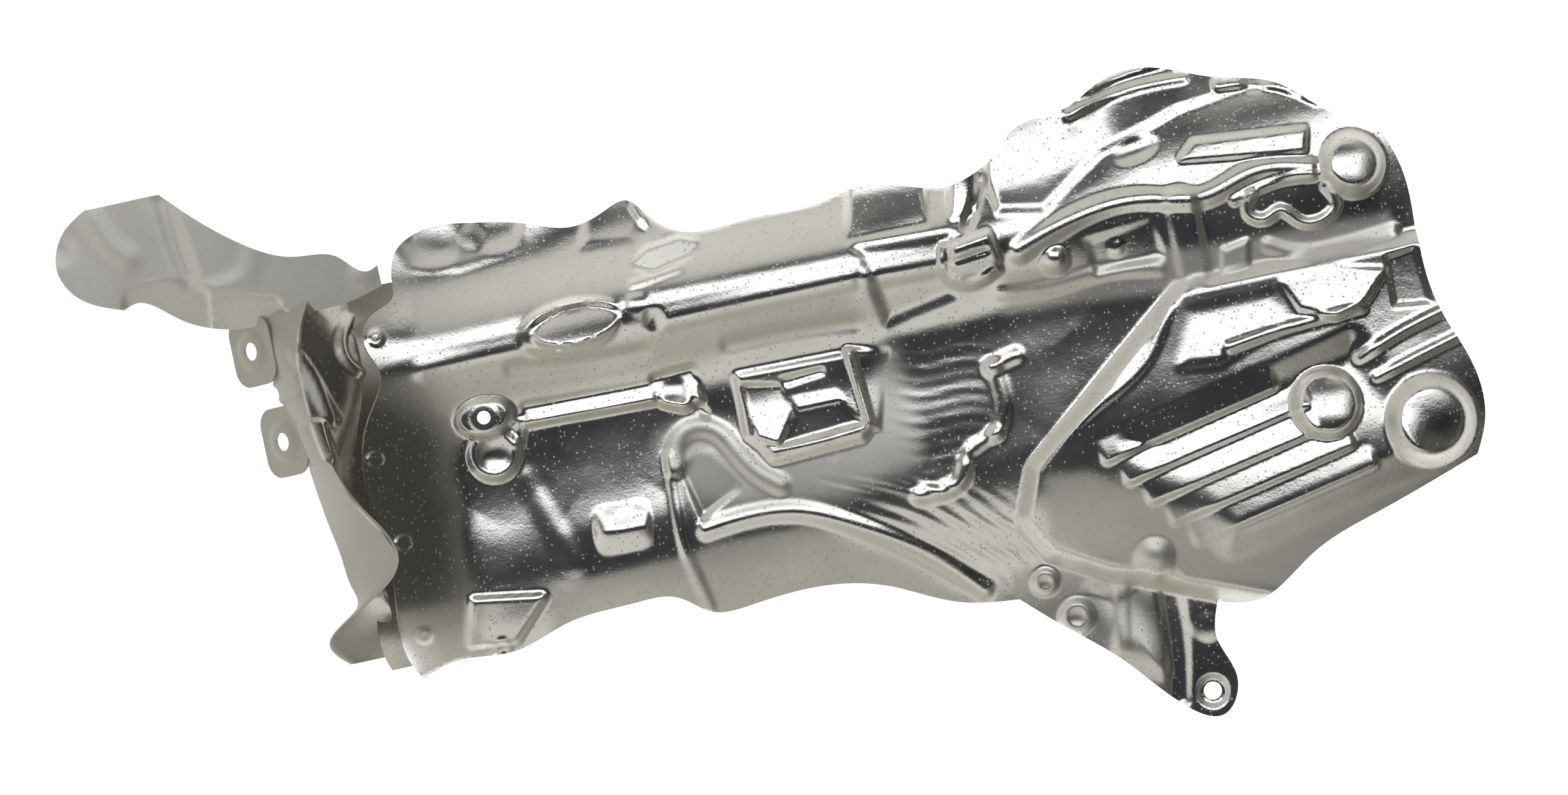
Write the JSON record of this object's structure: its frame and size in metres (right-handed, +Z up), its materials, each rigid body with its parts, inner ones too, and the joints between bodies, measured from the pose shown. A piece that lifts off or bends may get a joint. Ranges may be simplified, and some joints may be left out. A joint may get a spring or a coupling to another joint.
{
  "type": "exhaust heat shield",
  "caption": "Long pressed sheet-metal heat shield with a ridge, beads, domes and a ribbed pan, and a clinched end piece with a wing and fixing tabs, to cover a hot exhaust.",
  "frame": {"origin": "on the floor, under the middle of the whole shield as it lies with its outer side up", "axes": "+X along the ridge from the clinched end piece to the ribbed end, +Y from the ear towards the ridge, +Z up, out of the outer side"},
  "size_m": [0.6662, 0.3566, 0.0687],
  "materials": {
    "bright_sheet": "bright rolled sheet with small scuffs",
    "satin_sheet": "satin rolled sheet"
  },
  "bodies": {
    "root": {"main_shield": "bright_sheet", "end_shield": "satin_sheet"}
  },
  "joints": []
}
